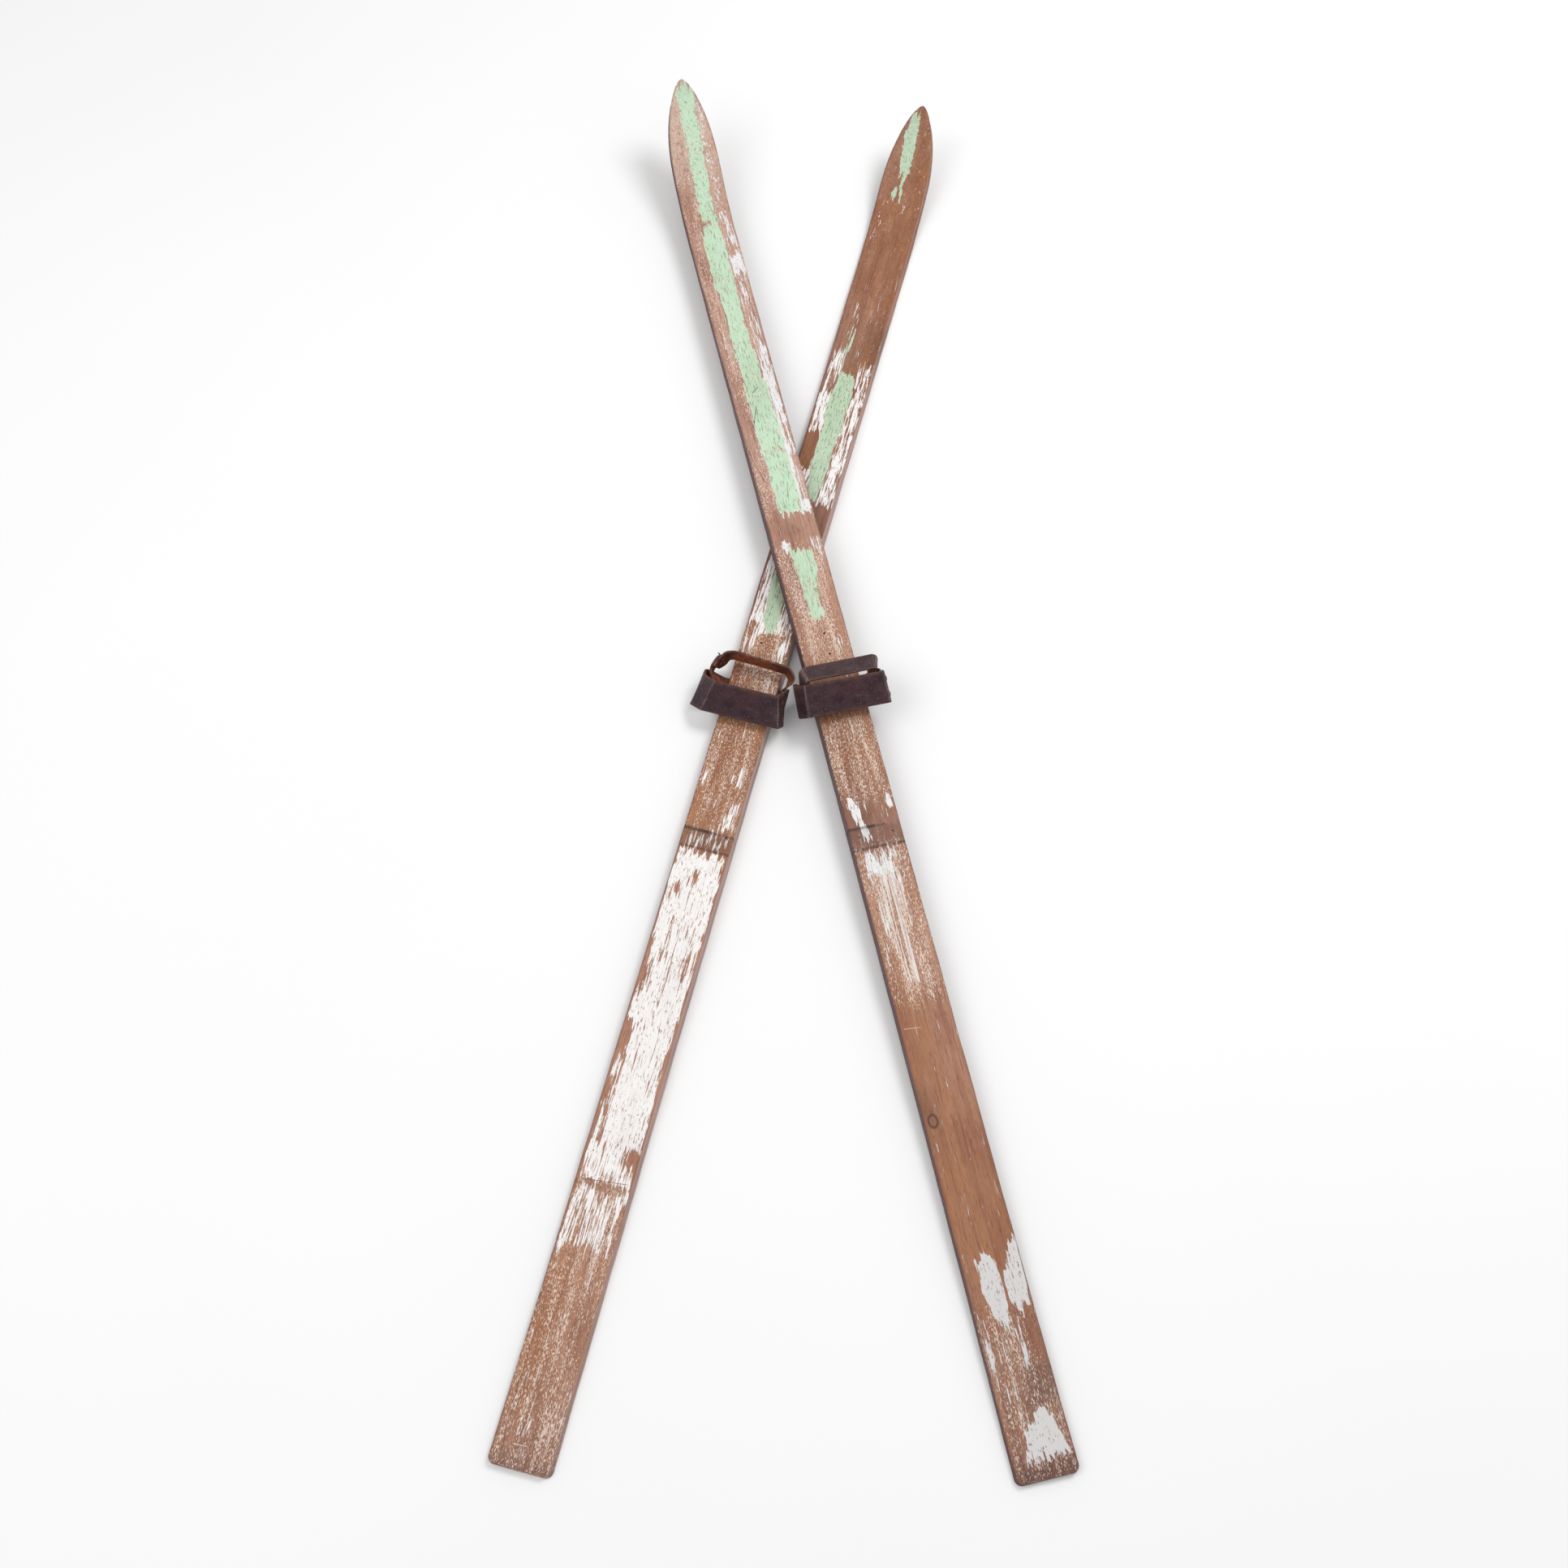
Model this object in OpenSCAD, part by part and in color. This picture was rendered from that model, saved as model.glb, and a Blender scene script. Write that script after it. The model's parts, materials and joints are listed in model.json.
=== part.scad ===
// A pair of old wooden skis, laid crossed with one ski on top of the other.
// Each ski is a solid wooden board with an upturned tip and a slot through
// its thickness. Two leather straps pass through the slot: a wide toe strap
// that leans back towards the tail, and a narrow strap that leans forward.
// Each strap is a flat web in the slot and a loop that flexes above it.
// Millimetres. +Y runs from the tails to the tips, +Z is up, and the origin
// is under the centre of the whole pair, on the surface that it lies on.

/* [Ski board] */
// Length of a ski seen from above
ski_length = 2100; // [1700:10:2300]
// Full width at the tail
tail_width = 79.5; // [74:0.5:90]
// Full width at the strap slot, the narrowest place
waist_width = 73.5; // [68:0.5:78]
// Full width just behind the tip
shovel_width = 77; // [72:0.5:90]
// Thickness at the strap slot
waist_thickness = 21; // [19:0.5:26]
// Thickness at the tail
tail_thickness = 9; // [7:0.5:12]
// Thickness where the tip starts to turn up
shovel_thickness = 9; // [7:0.5:12]
// Thickness at the very tip
tip_thickness = 7; // [5:0.5:9]
// Radius of the upturned tip, on its underside
tip_curve_radius = 360; // [300:10:500]
// Angle that the tip turns up
tip_angle = 42; // [25:1:50]
// Length of the pointed end, seen from above
point_length = 116; // [90:2:160]
// Radius of the tail's two corners
tail_corner_radius = 9; // [4:0.5:20]
// Width of the guide groove in the running base
groove_width = 12; // [6:1:16]
// Depth of the guide groove
groove_depth = 2; // [1:0.5:3]

/* [Layout] */
// Angle between the two skis
crossing_angle = 27.7; // [24:0.1:40]
// Where the skis cross, as a fraction of the length from the tail
crossing_fraction = 0.618; // [0.6:0.001:0.68]
// Where the strap slot is, as a fraction of the length from the tail
slot_fraction = 0.5; // [0.48:0.005:0.52]
// Gap between the top ski's base and the ski that it lies on
resting_gap = 0.4; // [0.3:0.1:1]

/* [Straps] */
// Thickness of the leather
leather_thickness = 3.2; // [2.5:0.1:3.4]
// Width of the wide toe strap
toe_strap_width = 45; // [40:1:46]
// Width of the narrow front strap
front_strap_width = 23; // [18:1:26]
// Backward lean of the left ski's toe strap
left_toe_lean = 40; // [30:1:42]
// Backward lean of the right ski's toe strap
right_toe_lean = 28; // [25:1:38]
// Forward lean of the left ski's front strap
left_front_lean = 58; // [40:1:58]
// Forward lean of the right ski's front strap
right_front_lean = 20; // [15:1:30]

/* [Nails and rivets] */
// Radius of a nail's shank
nail_radius = 1.1; // [0.8:0.1:1.5]
// Radius of a nail's head
nail_head_radius = 2.4; // [1.8:0.1:3]
// Distance from the slot to the left ski's foot tack, towards the tip
tack_distance = 84; // [60:1:88]
// Distance from the slot back to the old heel plate's nail holes
heel_distance = 218; // [190:1:240]
// Distance between the heel plate's two nail holes
heel_hole_spacing = 46; // [36:1:52]
// Radius of a rivet's shank
rivet_radius = 1.6; // [1.2:0.1:2]
// Radius of a rivet's head
rivet_head_radius = 4; // [3:0.1:4.5]

/* [Hidden] */
$fn = 48;

// How far a shank runs into its head, and how far a cutter runs past a face
eps = 0.01;
overshoot = 1;

// Colours
wood = [0.66, 0.48, 0.36];
pale_wood = [0.70, 0.54, 0.42];
dark_leather = [0.29, 0.20, 0.22];
worn_leather = [0.34, 0.25, 0.24];
iron = [0.30, 0.27, 0.25];
copper = [0.50, 0.32, 0.22];

// Board: places along it, measured from the tail
slot_y = slot_fraction * ski_length;
crossing_y = crossing_fraction * ski_length;
shovel_y = 0.857 * ski_length;
curve_start_y = ski_length - tip_curve_radius * sin(tip_angle);
groove_start_y = 60;
groove_end_y = curve_start_y - 60;

// Board: half the length of the flat foot platform, and the slot through its middle
platform_half = 160;
slot_length = toe_strap_width + 3;
slot_height = 2 * leather_thickness;
slot_z = waist_thickness / 2;

// Board: the pointed end's outline is full near its widest and blunt at its nose
point_fullness = 2.25;
point_bluntness = 0.62;
point_nose_radius = 4;

// Board: how many steps draw its curves, and how tall its outline is cut
side_steps = 12;
plan_steps = 14;
corner_step_angle = 15;
outline_height = 300;

// Lay of the pair: the right ski rests on the left ski, and its tail on the ground
half_angle = crossing_angle / 2;
contact_y = crossing_y - waist_width / 2 / sin(half_angle);
right_pitch = asin((waist_thickness + resting_gap) / contact_y);
tip_reach = (ski_length - crossing_y - point_nose_radius) * cos(half_angle) + point_nose_radius;
tail_corner_x = tail_width / 2 - tail_corner_radius;
tail_reach = (crossing_y - tail_corner_radius) * cos(half_angle)
    + tail_corner_x * sin(half_angle) + tail_corner_radius;
crossing_world_y = (tail_reach - tip_reach) / 2;

// Straps: the radius, about the slot's axis, at which the web ends and the loop starts
flex_radius = 25;
flex_gap = 0.4;
clear_length = 220;
bend_steps = 6;
lap_length = 16;

// Nails, tacks and rivets
hole_clearance = 0.03;
nail_head_height = 0.8;
nail_length = 15;
tack_length = 10;
tack_head_radius = 1.7;
tack_head_height = 0.9;
heel_hole_depth = 7;
rivet_head_height = 1.6;
rivet_end_length = 0.6;
burr_thickness = 0.9;
burr_radius = rivet_head_radius - 0.4;

// Foot tacks as [across, along from the slot]
left_tacks = [[-7.5, tack_distance]];
right_tacks = [[3.5, tack_distance + 8], [3.5, tack_distance - 25]];

// Loops seen along the ski: corners of the leather's centre line as [across,
// up from the slot's axis, corner radius], anticlockwise from the slot's
// right-hand end. The last corner and the first share the straight in the slot.
toe_low = -leather_thickness / 2;
front_low = leather_thickness / 2;
left_toe_corners = [
    [44.5, toe_low, 6], [51, 18, 10], [45, 46, 4],
    [-55, 46, 4], [-80, 17, 12], [-44.5, toe_low, 6]
];
right_toe_corners = [
    [44.5, toe_low, 6], [67, 18, 10], [63, 44, 4],
    [-50, 43, 4], [-62, 18, 10], [-44.5, toe_low, 6]
];
left_front_corners = [
    [40, front_low, 3.5], [42, 26, 6], [50, 38, 8], [42, 50, 12],
    [-46, 54, 24], [-67, 24, 12], [-40, front_low, 3.5]
];
right_front_corners = [
    [40, front_low, 3.5], [50, 20, 9], [59, 50, 6],
    [-46, 49, 9], [-50, 20, 9], [-40, front_low, 3.5]
];

// The wall that carries each loop's lap joint, as the index of its first corner
left_toe_lap = 1;
right_toe_lap = 1;
left_front_lap = 4;
right_front_lap = 1;

// Rivets' places across a strap
toe_rivets = [-11, 11];
front_rivet = [0];

// Blends smoothly from 0 to 1 as t goes from 0 to 1
function ease(t) = (1 - cos(180 * min(1, max(0, t)))) / 2;

// Board thickness along the ski, before the tip's curve
function thickness(y) = y < slot_y
    ? tail_thickness + (waist_thickness - tail_thickness) * ease(y / (slot_y - platform_half))
    : waist_thickness - (waist_thickness - shovel_thickness)
        * ease((y - slot_y - platform_half) / (curve_start_y - slot_y - platform_half));

// Half of the board's width along the ski, before the point
function half_width(y) = y < slot_y
    ? (waist_width + (tail_width - waist_width) * pow(1 - y / slot_y, 2)) / 2
    : (waist_width + (shovel_width - waist_width)
        * pow(min(1, (y - slot_y) / (shovel_y - slot_y)), 2)) / 2;

// Share of the full width left at a fraction of the point's length from the tip
function point_share(u) = pow(1 - pow(1 - u, point_fullness), point_bluntness);

// Vectors: the one of length 1, and one turned by an angle
function unit(v) = v / norm(v);
function turned(v, angle) =
    [v[0] * cos(angle) - v[1] * sin(angle), v[0] * sin(angle) + v[1] * cos(angle)];

// Points of a rounded corner on a path that comes from before and goes on to after
function rounded_corner(before, corner, after, radius) =
    let (u = unit(before - corner), v = unit(after - corner),
         half = acos(u * v) / 2,
         centre = corner + unit(u + v) * radius / sin(half),
         arm = corner + u * radius / tan(half) - centre,
         sweep = -sign(u[0] * v[1] - u[1] * v[0]) * (180 - 2 * half))
    [for (i = [0 : bend_steps]) centre + turned(arm, sweep * i / bend_steps)];

// A loop's sharp corners, moved outwards by d
function outward(a, b) = -turned(unit(b - a), 90);
function moved_corners(corners, d) =
    let (n = len(corners), points = [for (c = corners) [c[0], c[1]]])
    [for (i = [0 : n - 1])
        let (before = outward(points[(i + n - 1) % n], points[i]),
             after = outward(points[i], points[(i + 1) % n]))
        points[i] + (before + after) * d / (1 + before * after)];

// A loop's closed outline, moved outwards by d from the leather's centre line
function loop_outline(corners, d) =
    let (n = len(corners), moved = moved_corners(corners, d))
    [for (i = [0 : n - 1])
        each rounded_corner(moved[(i + n - 1) % n], moved[i], moved[(i + 1) % n],
                            corners[i][2] + d)];

// Middle and direction of the loop's wall that starts at corner i
function wall_mid(corners, i) = let (a = corners[i], b = corners[i + 1])
    [(a[0] + b[0]) / 2, (a[1] + b[1]) / 2];
function wall_angle(corners, i) = let (a = corners[i], b = corners[i + 1])
    atan2(b[1] - a[1], b[0] - a[0]);

// Places a ski: its own frame has its tail's base at the origin and +Y to its tip
module place_left() {
    translate([0, crossing_world_y, 0]) rotate([0, 0, -half_angle])
        translate([0, -crossing_y, 0]) children();
}
module place_right() {
    translate([0, crossing_world_y, 0]) rotate([0, 0, half_angle])
        translate([0, -crossing_y, 0]) rotate([right_pitch, 0, 0]) children();
}
module at_slot() translate([0, slot_y, slot_z]) children();

// A wall's own frame: x along the wall, and y (in 2D) or z (in 3D) outwards
module on_wall_2d(corners, i) {
    translate(wall_mid(corners, i)) rotate(wall_angle(corners, i) + 180) children();
}
module on_wall(corners, i, across) {
    mid = wall_mid(corners, i);
    translate([mid[0], across, mid[1]]) rotate([0, -wall_angle(corners, i) - 180, 0]) children();
}

// Side view of the board, extruded across it, with both faces carried on past the nose
module side_profile() {
    top_y = [for (i = [0 : 2 * side_steps]) curve_start_y * i / (2 * side_steps)];
    curve = [for (i = [0 : side_steps]) tip_angle * i / side_steps];
    base = [for (a = curve)
        [curve_start_y + tip_curve_radius * sin(a), tip_curve_radius * (1 - cos(a))]];
    top = [for (a = curve)
        let (r = tip_curve_radius - shovel_thickness
                + (shovel_thickness - tip_thickness) * a / tip_angle)
        [curve_start_y + r * sin(a), tip_curve_radius - r * cos(a)]];
    slope = [1, tan(tip_angle)];
    base_end = base[side_steps] + overshoot * slope;
    top_end = top[side_steps] + (tip_thickness * sin(tip_angle) + overshoot) * slope;
    outline = concat([[0, 0]], base, [base_end, top_end], [for (i = [side_steps : -1 : 1]) top[i]],
        [for (i = [2 * side_steps : -1 : 0]) [top_y[i], thickness(top_y[i])]]);
    rotate([90, 0, 90]) linear_extrude(2 * tail_width, center = true) polygon(outline);
}

// Board seen from above, extruded upwards
module plan_outline() {
    point_start = ski_length - point_length;
    sides = [for (i = [1 : plan_steps]) i * point_start / plan_steps];
    point_u = [for (i = [plan_steps - 1 : -1 : 1]) pow(i / plan_steps, 2)];
    corner = [for (a = [0 : corner_step_angle : 90])
        [tail_corner_x + tail_corner_radius * sin(a), tail_corner_radius * (1 - cos(a))]];
    right = concat(corner,
        [for (y = sides) [half_width(y), y]],
        [for (u = point_u)
            [half_width(point_start) * point_share(u), ski_length - point_length * u]]);
    left = [for (i = [len(right) - 1 : -1 : 0]) [-right[i][0], right[i][1]]];
    translate([0, 0, -overshoot]) linear_extrude(outline_height)
        polygon(concat(right, [[0, ski_length]], left));
}

module guide_groove() {
    translate([-groove_width / 2, groove_start_y, -overshoot])
        cube([groove_width, groove_end_y - groove_start_y, groove_depth + overshoot]);
    for (y = [groove_start_y, groove_end_y]) translate([0, y, -overshoot])
        cylinder(d = groove_width, h = groove_depth + overshoot);
}

// A hole of a given depth, down from a height on the board
module down_hole(x, y, top, depth, radius) {
    translate([x, y, top - depth]) cylinder(r = radius, h = depth + overshoot);
}

module ski(tacks) {
    heel_y = slot_y - heel_distance;
    shank_hole_radius = nail_radius + hole_clearance;
    difference() {
        intersection() {
            side_profile();
            plan_outline();
        }
        at_slot() cube([waist_width * 2, slot_length, slot_height], center = true);
        guide_groove();
        down_hole(0, slot_y, waist_thickness, nail_length, shank_hole_radius);
        down_hole(0, slot_y, waist_thickness, nail_head_height, nail_head_radius + hole_clearance);
        for (tack = tacks)
            down_hole(tack[0], slot_y + tack[1], waist_thickness, tack_length, shank_hole_radius);
        for (side = [-1, 1])
            down_hole(side * heel_hole_spacing / 2, heel_y, thickness(heel_y),
                      heel_hole_depth, nail_radius);
    }
}

// A low dome that stands on z = 0
module dome(radius, height) {
    rotate_extrude() intersection() {
        scale([1, height / radius]) circle(r = radius);
        square([radius, radius]);
    }
}

// The nail that pins both webs in the slot, its head flush with the top face
module strap_nail() {
    translate([0, slot_y, waist_thickness - nail_length])
        cylinder(r = nail_radius, h = nail_length - nail_head_height + eps);
    translate([0, slot_y, waist_thickness - nail_head_height])
        cylinder(r = nail_head_radius, h = nail_head_height);
}

// Small domed tacks in the top face in front of the straps
module foot_tacks(tacks) {
    for (tack = tacks) translate([tack[0], slot_y + tack[1], waist_thickness]) {
        translate([0, 0, -tack_length]) cylinder(r = nail_radius, h = tack_length + eps);
        dome(tack_head_radius, tack_head_height);
    }
}

// A whole strap, web and loop in one, about the slot's axis
module whole_strap(corners, width, lap) {
    rotate([90, 0, 0]) linear_extrude(width, center = true) {
        difference() {
            polygon(loop_outline(corners, leather_thickness / 2));
            polygon(loop_outline(corners, -leather_thickness / 2));
        }
        on_wall_2d(corners, lap) translate([-lap_length / 2, -1.5 * leather_thickness])
            square([lap_length, 1.5 * leather_thickness]);
    }
}

module flex_cylinder(radius) {
    rotate([0, 90, 0]) cylinder(r = radius, h = clear_length, center = true);
}

// The web keeps what lies inside the flex radius, and the nail's hole
module strap_web(corners, width, lap) {
    at_slot() difference() {
        intersection() {
            whole_strap(corners, width, lap);
            flex_cylinder(flex_radius);
        }
        cylinder(r = nail_radius + hole_clearance, h = waist_thickness, center = true);
    }
}

// The loop keeps the rest, leaning about the slot's axis, and the rivets' holes
module strap_loop(corners, width, lap, lean, rivets) {
    at_slot() rotate([lean, 0, 0]) difference() {
        whole_strap(corners, width, lap);
        flex_cylinder(flex_radius + flex_gap);
        for (across = rivets) on_wall(corners, lap, across)
            cylinder(r = rivet_radius + hole_clearance, h = 6 * leather_thickness, center = true);
    }
}

// Rivets: a domed head outside, and a shank through both layers and the burr
module strap_rivets(corners, lap, lean, rivets) {
    shank = 2 * leather_thickness + burr_thickness + rivet_end_length;
    at_slot() rotate([lean, 0, 0]) for (across = rivets) on_wall(corners, lap, across)
        translate([0, 0, leather_thickness / 2]) {
            translate([0, 0, -shank]) cylinder(r = rivet_radius, h = shank + eps);
            dome(rivet_head_radius, rivet_head_height);
        }
}

// Burrs: the washers that the rivets' ends are peened over, inside the loop
module strap_burrs(corners, lap, lean, rivets) {
    at_slot() rotate([lean, 0, 0]) for (across = rivets) on_wall(corners, lap, across)
        translate([0, 0, -1.5 * leather_thickness - burr_thickness]) difference() {
            cylinder(r = burr_radius, h = burr_thickness);
            translate([0, 0, -overshoot])
                cylinder(r = rivet_radius + hole_clearance, h = burr_thickness + 2 * overshoot);
        }
}

module left_ski() color(wood) place_left() ski(left_tacks);
module left_toe_strap_web() color(dark_leather) place_left()
    strap_web(left_toe_corners, toe_strap_width, left_toe_lap);
module left_front_strap_web() color(worn_leather) place_left()
    strap_web(left_front_corners, front_strap_width, left_front_lap);
module left_strap_nail() color(iron) place_left() strap_nail();
module left_foot_tacks() color(iron) place_left() foot_tacks(left_tacks);
module left_toe_strap_loop() color(dark_leather) place_left()
    strap_loop(left_toe_corners, toe_strap_width, left_toe_lap, left_toe_lean, toe_rivets);
module left_toe_strap_rivets() color(copper) place_left()
    strap_rivets(left_toe_corners, left_toe_lap, left_toe_lean, toe_rivets);
module left_toe_strap_burrs() color(copper) place_left()
    strap_burrs(left_toe_corners, left_toe_lap, left_toe_lean, toe_rivets);
module left_front_strap_loop() color(worn_leather) place_left()
    strap_loop(left_front_corners, front_strap_width, left_front_lap, -left_front_lean, front_rivet);
module left_front_strap_rivet() color(copper) place_left()
    strap_rivets(left_front_corners, left_front_lap, -left_front_lean, front_rivet);
module left_front_strap_burr() color(copper) place_left()
    strap_burrs(left_front_corners, left_front_lap, -left_front_lean, front_rivet);

module right_ski() color(pale_wood) place_right() ski(right_tacks);
module right_toe_strap_web() color(dark_leather) place_right()
    strap_web(right_toe_corners, toe_strap_width, right_toe_lap);
module right_front_strap_web() color(worn_leather) place_right()
    strap_web(right_front_corners, front_strap_width, right_front_lap);
module right_strap_nail() color(iron) place_right() strap_nail();
module right_foot_tacks() color(iron) place_right() foot_tacks(right_tacks);
module right_toe_strap_loop() color(dark_leather) place_right()
    strap_loop(right_toe_corners, toe_strap_width, right_toe_lap, right_toe_lean, toe_rivets);
module right_toe_strap_rivets() color(copper) place_right()
    strap_rivets(right_toe_corners, right_toe_lap, right_toe_lean, toe_rivets);
module right_toe_strap_burrs() color(copper) place_right()
    strap_burrs(right_toe_corners, right_toe_lap, right_toe_lean, toe_rivets);
module right_front_strap_loop() color(worn_leather) place_right()
    strap_loop(right_front_corners, front_strap_width, right_front_lap, -right_front_lean, front_rivet);
module right_front_strap_rivet() color(copper) place_right()
    strap_rivets(right_front_corners, right_front_lap, -right_front_lean, front_rivet);
module right_front_strap_burr() color(copper) place_right()
    strap_burrs(right_front_corners, right_front_lap, -right_front_lean, front_rivet);

left_ski();
left_toe_strap_web();
left_front_strap_web();
left_strap_nail();
left_foot_tacks();
left_toe_strap_loop();
left_toe_strap_rivets();
left_toe_strap_burrs();
left_front_strap_loop();
left_front_strap_rivet();
left_front_strap_burr();
right_ski();
right_toe_strap_web();
right_front_strap_web();
right_strap_nail();
right_foot_tacks();
right_toe_strap_loop();
right_toe_strap_rivets();
right_toe_strap_burrs();
right_front_strap_loop();
right_front_strap_rivet();
right_front_strap_burr();
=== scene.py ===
"""A crossed pair of old wooden skis with leather foot straps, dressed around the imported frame.

Lengths in the lists are millimetres on one ski: across it from its centre line,
along it from its tail, and up from the axis of its strap slot.
"""
import json
import math

import bmesh
import bpy
import numpy as np
from mathutils import Euler, Matrix, Vector, noise
from mathutils.bvhtree import BVHTree


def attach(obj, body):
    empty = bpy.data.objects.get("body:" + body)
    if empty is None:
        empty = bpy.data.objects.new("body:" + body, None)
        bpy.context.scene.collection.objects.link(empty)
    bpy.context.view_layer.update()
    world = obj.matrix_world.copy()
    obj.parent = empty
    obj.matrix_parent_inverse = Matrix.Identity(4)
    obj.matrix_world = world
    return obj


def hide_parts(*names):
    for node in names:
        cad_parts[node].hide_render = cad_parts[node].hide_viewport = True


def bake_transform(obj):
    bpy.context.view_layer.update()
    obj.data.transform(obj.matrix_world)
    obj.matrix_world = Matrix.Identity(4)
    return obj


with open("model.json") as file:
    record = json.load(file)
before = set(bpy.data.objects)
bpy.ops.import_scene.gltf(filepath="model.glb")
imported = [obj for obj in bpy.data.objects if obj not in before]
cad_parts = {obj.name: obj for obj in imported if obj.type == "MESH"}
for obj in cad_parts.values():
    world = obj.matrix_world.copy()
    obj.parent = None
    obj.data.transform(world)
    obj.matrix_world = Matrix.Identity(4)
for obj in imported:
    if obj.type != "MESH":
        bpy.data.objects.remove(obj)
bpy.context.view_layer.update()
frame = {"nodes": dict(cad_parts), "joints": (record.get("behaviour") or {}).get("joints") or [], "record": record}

MM = 0.001
LENGTH = 2100
SLOT_ALONG = LENGTH / 2
JOINTS = {joint["name"]: joint for joint in frame["joints"]}
MOUNTS = {mount["name"]: mount for mount in frame["record"]["mounts"]}


# ---------------------------------------------------------------- ski frames

def ski_matrix(side):
    """Takes a ski's own metres, from the middle of its strap slot, to the row frame."""
    hinge = JOINTS[f"{side}_toe_strap_flex"]
    right = Vector(hinge["axis"]).normalized()
    up = Vector(MOUNTS[f"{side}_heel_plate_holes"]["axis"]).normalized()
    forward = up.cross(right)
    matrix = Matrix((right, forward, up)).transposed().to_4x4()
    matrix.translation = Vector(hinge["pos_m"])
    return matrix


SKI = {side: ski_matrix(side) for side in ("left", "right")}


# ---------------------------------------------------------------- camera

CAMERA_FROM_CROSSING = (-0.085, -1.446, 2.328)
CAMERA_DEGREES = (24.85, -2.13, 0.70)
CAMERA_LENS = 42.9


def make_camera():
    """Stands the camera where the two skis' centre lines cross, plus its offset."""
    origin, forward = SKI["left"].translation, SKI["left"].col[1]
    crossing_y = origin.y - origin.x * forward.y / forward.x
    data = bpy.data.cameras.new("camera")
    data.lens = CAMERA_LENS
    data.sensor_width = 36
    camera = bpy.data.objects.new("camera", data)
    camera.location = Vector((0, crossing_y, 0)) + Vector(CAMERA_FROM_CROSSING)
    camera.rotation_euler = Euler([math.radians(a) for a in CAMERA_DEGREES])
    bpy.context.collection.objects.link(camera)
    bpy.context.scene.camera = camera


# ---------------------------------------------------------------- mesh helpers

def smooth(t):
    t = np.clip(t, 0, 1)
    return t * t * (3 - 2 * t)


def wander(seed, place, size):
    """A smooth value from -1 to 1 that varies over a length of size."""
    return noise.noise(Vector((place / size, seed * 7.31, seed * 1.7))) * 1.6


def mesh_object(name, points, faces, material, matrix=Matrix()):
    mesh = bpy.data.meshes.new(name)
    mesh.from_pydata([matrix @ Vector(p) for p in points], [], faces)
    mesh.validate()
    builder = bmesh.new()
    builder.from_mesh(mesh)
    bmesh.ops.recalc_face_normals(builder, faces=builder.faces)
    builder.to_mesh(mesh)
    builder.free()
    mesh.polygons.foreach_set("use_smooth", [True] * len(mesh.polygons))
    mesh.materials.append(material)
    piece = bpy.data.objects.new(name, mesh)
    bpy.context.collection.objects.link(piece)
    return piece


def ring_faces(rings, ring_size, start=0):
    """Quads between rings of vertices, with a flat cap on each end."""
    faces = []
    for i in range(rings - 1):
        low, high = start + i * ring_size, start + (i + 1) * ring_size
        for j in range(ring_size):
            k = (j + 1) % ring_size
            faces.append((low + j, low + k, high + k, high + j))
    faces.append(tuple(range(start + ring_size - 1, start - 1, -1)))
    end = start + (rings - 1) * ring_size
    faces.append(tuple(range(end, end + ring_size)))
    return faces


def set_attribute(piece, name, values):
    """Stores one number, or three, for every vertex."""
    values = np.asarray(values, np.float32)
    kind = "FLOAT_VECTOR" if values.ndim == 2 else "FLOAT"
    attribute = piece.data.attributes.new(name, kind, "POINT")
    attribute.data.foreach_set("vector" if values.ndim == 2 else "value", values.ravel())


def lathe(profile, steps=24):
    """Points and faces of a profile of (radius, height) turned about z; both ends are closed."""
    points = [(r * math.cos(a), r * math.sin(a), z) for r, z in profile
              for a in (math.tau * i / steps for i in range(steps))]
    return points, ring_faces(len(profile), steps)


# ---------------------------------------------------------------- boards

# inner is the side that faces the other ski's tail, and slope is how far that side leans in
BOARDS = {"left": {"inner": 1, "slope": 3.8, "seed": 3},
          "right": {"inner": -1, "slope": 1.4, "seed": 8}}
TOP_EDGE_RADIUS = 2.3
BASE_EDGE_RADIUS = 0.9
TOP_INSETS = (0, 0.12, 0.4, 0.8, 1.4, 2.2, 3.4)
TOP_STEPS = 17
GROOVE_HALF_WIDTH = 6
GROOVE_DEPTH = 2
GROOVE_SPAN = (60, 1799)
HEEL_LINES = {"left": (833, 808), "right": (843, 814)}
HEEL_SPAN = (798, 852)
POINT_LENGTH = 116


def stations():
    """Places along the board for its cross-sections, closest where the shape changes fastest."""
    tail = [0, 0.3, 0.8, 1.5, 2.5, 4, 5.5, 7, 9, 12, 16]
    heel = list(np.arange(*HEEL_SPAN, 1.3))
    point = [LENGTH - POINT_LENGTH * (i / 40) ** 2 for i in range(40, 0, -1)]
    sides = [y for y in np.arange(20, LENGTH - POINT_LENGTH, 4.5)
             if not HEEL_SPAN[0] - 2 < y < HEEL_SPAN[1] + 2]
    return sorted(tail + sides + heel + point)


def measure_board(side, places):
    """Half-width, top height and base height of the CAD board at each place, in mm."""
    node = frame["nodes"][f"{side}_ski"]
    to_ski = SKI[side].inverted()
    points = [to_ski @ v.co / MM for v in node.data.vertices]
    tree = BVHTree.FromPolygons(points, [tuple(p.vertices) for p in node.data.polygons])
    rows = []
    for place in places:
        y = min(max(place, 0.05), LENGTH - 0.05) - SLOT_ALONG
        x = 10 if place < LENGTH - 40 else 0.1
        top = tree.ray_cast(Vector((x, y, 300)), Vector((0, 0, -1)))[0].z
        base = tree.ray_cast(Vector((x, y, -300)), Vector((0, 0, 1)))[0].z
        low = base + (top - base) / 4
        half = tree.ray_cast(Vector((100, y, low)), Vector((-1, 0, 0)))[0].x
        rows.append((half, top, base))
    return np.array(rows)


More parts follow.
